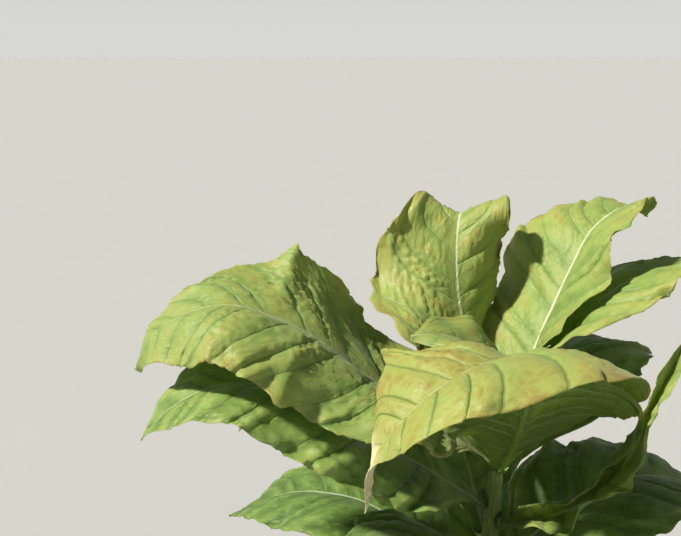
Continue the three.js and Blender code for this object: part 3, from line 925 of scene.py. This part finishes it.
def ripe_colour(g, leaf, side, masks, patches, mottle):
    """The colour of tissue that ripens in patches, between the veins and at the margin, and of its veins,
    with shade painted as darker green along the side veins' furrows.
    """
    ripe = leaf["ripe"] - side["lag"]
    for more, amount in (
        (g.math("SUBTRACT", patches, 0.5), RIPER["patches"]),
        (g.math("SUBTRACT", mottle, 0.5), RIPER["mottle"]),
        (g.math("POWER", masks["reach"], 4.0), RIPER["margin"]),
        (g.between(masks["off_vein"], 0.0, 0.5), RIPER["off_vein"]),
        (g.between(masks["net"], 0.0, 0.35), RIPER["net"]),
    ):
        ripe = g.math("MULTIPLY_ADD", more, amount, ripe)
    base = g.ramp(ripe, side["tones"])
    base = g.tint(base, g.between(masks["net"], 0.09, 0.0), side["net"], VEIN_LIGHT)
    base = g.tint(base, g.between(masks["fine_net"], 0.1, 0.0), side["fine_net"], VEIN_LIGHT)
    # Painted shade: darker green along the side veins, standing in for the shade in their furrows.
    base = g.tint(base, g.between(masks["off_vein"], 0.055, 0.012), side["painted_furrow_shade"], PAINTED_FURROW_SHADE)
    base = g.tint(base, masks["lateral"], side["lateral"], VEIN_LIGHT)
    return g.tint(base, masks["rib"], side["rib"], side["rib_tone"])


def scorched(g, leaf, base, place, reach, patches, mottle):
    """The colour with scorched margins and dry spots."""
    edge = g.math("ADD", reach, g.math("MULTIPLY_ADD", mottle, 0.09, -0.045))
    margin = g.math("MULTIPLY", g.between(edge, SCORCHED_FROM, 1.0), g.between(patches, 0.47, 0.62))
    base = g.tint(base, margin, SCORCHED_SHARE * leaf["ripe"], DRY_EDGE)
    spots = g.node("TexVoronoi", {"Vector": place, "Scale": SPOTS_SCALE}, feature="F1")
    lot = g.math("FRACT", g.math("MULTIPLY", spots.outputs["Color"], 7.3))
    chosen = g.math("GREATER_THAN", lot, SPOTS_LEFT_OUT)
    spot = g.math("MULTIPLY", g.between(spots.outputs["Distance"], *SPOT_SIZES), chosen)
    return g.tint(base, spot, SPOT_SHARE * leaf["ripe"], DRY_EDGE)


def withered(g, leaf, base, patches, mottle):
    """The colour with a withered tip, and the share of light that shines through, which is less there."""
    _, _, u = g.map("rib")
    far = g.math("MULTIPLY_ADD", g.math("SUBTRACT", patches, 0.5), 0.12, u)
    dry = g.math("MULTIPLY", g.between(far, *DRY_COLOUR_FROM), leaf["dry"])
    base = g.blend(dry, base, DRY_TIP)
    base = g.tint(base, dry, g.between(mottle, 0.6, 0.72, 0.0, 0.5), DRY_BROWN)
    return base, g.math("MULTIPLY_ADD", dry, -DRY_BLOCKS_LIGHT * TRANSLUCENT_SHARE, TRANSLUCENT_SHARE)


def fine_relief(g, leaf, side, masks, place):
    """The bump of the tissue that stands up between small veins, with its specks and the side veins."""
    height = g.math("MULTIPLY", g.between(masks["net"], 0.0, 0.42), HIGHER["net"])
    height = g.math("MULTIPLY_ADD", g.between(masks["fine_net"], 0.0, 0.4), HIGHER["fine_net"], height)
    height = g.math("MULTIPLY_ADD", g.noise(place, SPECKS_SCALE, 2.0), HIGHER["specks"], height)
    height = g.math("MULTIPLY_ADD", masks["lateral"], side["vein_height"], height)
    strength = BUMP_STRENGTH + BUMP_WHERE_PUCKERED * leaf["puckered"]
    return g.bump(g.math("MULTIPLY", height, side["facing"]), strength, BUMP_DISTANCE)


def leaf_material(leaf, side):
    """Blade tissue: greener along the veins, yellower between them and at the margin, with shade painted in
    the side veins' furrows, pale ribs, a net of small veins that puckers the blade, and light shining
    through."""
    material, g = new_material(f"leaf_{leaf['number']:02d}_{side['name']}")
    shift = g.node("CombineXYZ", {k: leaf["number"] * PATTERN_SHIFT[k] for k in (0, 1)}).outputs[0]
    place = g.vector("ADD", g.map("flat")[0], shift)
    masks = vein_masks(g, side, place, shift)
    patches = g.noise(place, PATCHES_SCALE)
    mottle = g.noise(place, MOTTLE_SCALE)
    base = ripe_colour(g, leaf, side, masks, patches, mottle)
    base = scorched(g, leaf, base, place, masks["reach"], patches, mottle)
    shine = TRANSLUCENT_SHARE
    if leaf["dry"]:
        base, shine = withered(g, leaf, base, patches, mottle)
    normal = fine_relief(g, leaf, side, masks, place)
    rough = g.math("MULTIPLY_ADD", mottle, ROUGH_SPREAD, side["rough"])
    skin = g.skin(base, rough, side["gloss"], LEAF_SHEEN, normal)
    g.show(g.let_through(skin, shine, g.blend(0.5, base, SHINING_THROUGH), normal))
    return material


def shoot_material():
    """Young downy leaf tissue, greyer green than the big leaves."""
    material, g = new_material("young_leaf")
    place = g.node("TexCoord").outputs["Object"]
    patches = g.noise(place, 160.0)
    base = g.ramp(patches, SHOOT_TONES)
    normal = g.bump(g.noise(place, 900.0, 2.0), DOWN_BUMP, DOWN_DISTANCE)
    rough = g.math("MULTIPLY_ADD", patches, 0.2, 0.5)
    skin = g.skin(base, rough, gloss=0.3, sheen=DOWN_SHEEN, normal=normal)
    g.show(g.let_through(skin, SHOOT_TRANSLUCENT_SHARE, base))
    return material


def stem_material():
    """Stalk skin: pale green with fine lengthwise streaks, browner near the ground, with pale pith on top."""
    material, g = new_material("stalk")
    place = g.node("TexCoord").outputs["Object"]
    height = g.node("SeparateXYZ", {0: place}).outputs[2]
    streaks = g.vector("MULTIPLY", place, (1.0, 1.0, 0.06))
    lines = g.noise(streaks, 420.0)
    broad = g.noise(streaks, 90.0, 2.0)
    patches = g.noise(place, 22.0)
    base = g.ramp(g.math("MULTIPLY_ADD", lines, 0.5, g.math("MULTIPLY", broad, 0.5)), STALK_TONES)
    base = g.tint(base, g.between(patches, 0.55, 0.72), 0.4, STALK_DULL)
    earthy = g.math("MULTIPLY_ADD", g.math("SUBTRACT", patches, 0.5), 0.12, height)
    base = g.blend(g.between(earthy, EARTHY_HEIGHT, 0.0, 0.0, 0.85), base, STALK_EARTHY)
    cut = g.between(height, *(STEM_HEIGHT - depth for depth in PITH_DEPTHS))
    base = g.tint(base, cut, 0.8, STALK_PITH)
    hairs = g.math("MULTIPLY_ADD", g.noise(place, 1500.0, 1.0), 0.3, lines)
    normal = g.bump(hairs, DOWN_BUMP, DOWN_DISTANCE)
    rough = g.math("MULTIPLY_ADD", broad, 0.2, 0.48)
    g.show(g.skin(base, rough, gloss=0.35, sheen=DOWN_SHEEN, normal=normal))
    return material


def floor_material():
    """A matt pale grey."""
    material, g = new_material("floor")
    place = g.node("TexCoord").outputs["Object"]
    g.show(g.skin(g.ramp(g.noise(place, 3.0), FLOOR_TONES), rough=0.9, gloss=0.0))
    return material


def build_stage():
    """A plain pale floor that runs to the horizon, under a sky that is as pale as the floor low down."""
    corners = np.array([[-1, -1, 0], [1, -1, 0], [1, 1, 0], [-1, 1, 0]]) * FLOOR_REACH
    floor = mesh_piece("floor", corners, np.array([[0, 1, 2, 3]]), [floor_material()])
    world = bpy.data.worlds.new("studio")
    bpy.context.scene.world = world
    world.use_nodes = True
    g = Graph(world.node_tree)
    height = g.node("SeparateXYZ", {0: g.node("TexCoord").outputs["Generated"]}).outputs[2]
    tone = g.blend(g.between(height, *SKY_FADE), SKY_LOW, SKY_HIGH)
    sky = g.node("Background", {"Color": tone, "Strength": 1.0})
    g.node("OutputWorld", {"Surface": sky.outputs[0]})


def add_light(name, kind, toward, strength, tint, **settings):
    """A light at toward from the plant's middle that faces it. Only its direction counts for a sun."""
    data = bpy.data.lights.new(name, kind)
    data.energy = strength
    data.color = tint
    for key, value in settings.items():
        setattr(data, key, value)
    light = bpy.data.objects.new(name, data)
    bpy.context.scene.collection.objects.link(light)
    light.location = Vector(toward) + Vector((0, 0, MIDDLE_HEIGHT))
    light.rotation_euler = Vector(toward).to_track_quat("Z", "Y").to_euler()


def build_camera():
    """The camera at the photograph's viewing angle."""
    data = bpy.data.cameras.new("camera")
    data.sensor_width = SENSOR_WIDTH
    data.lens = SENSOR_WIDTH * FOCAL_PIXELS / PHOTO_WIDTH
    camera = bpy.data.objects.new("camera", data)
    bpy.context.scene.collection.objects.link(camera)
    camera.location = CAMERA_PLACE
    camera.rotation_euler = (math.radians(90 - CAMERA_DOWN), 0, 0)
    bpy.context.scene.camera = camera
    bpy.context.scene.view_settings.view_transform = "Standard"


build_camera()
build_stage()
add_light("key", "SUN", KEY_TOWARD, KEY_STRENGTH, KEY_TINT, angle=math.radians(KEY_ANGLE))
add_light("front", "AREA", FRONT_PLACE, FRONT_WATTS, FRONT_TINT, shape="DISK", size=FRONT_SIZE)
build_stem()
build_shoots()
for leaf_number in range(1, LEAVES + 1):
    build_leaf(leaf_number)
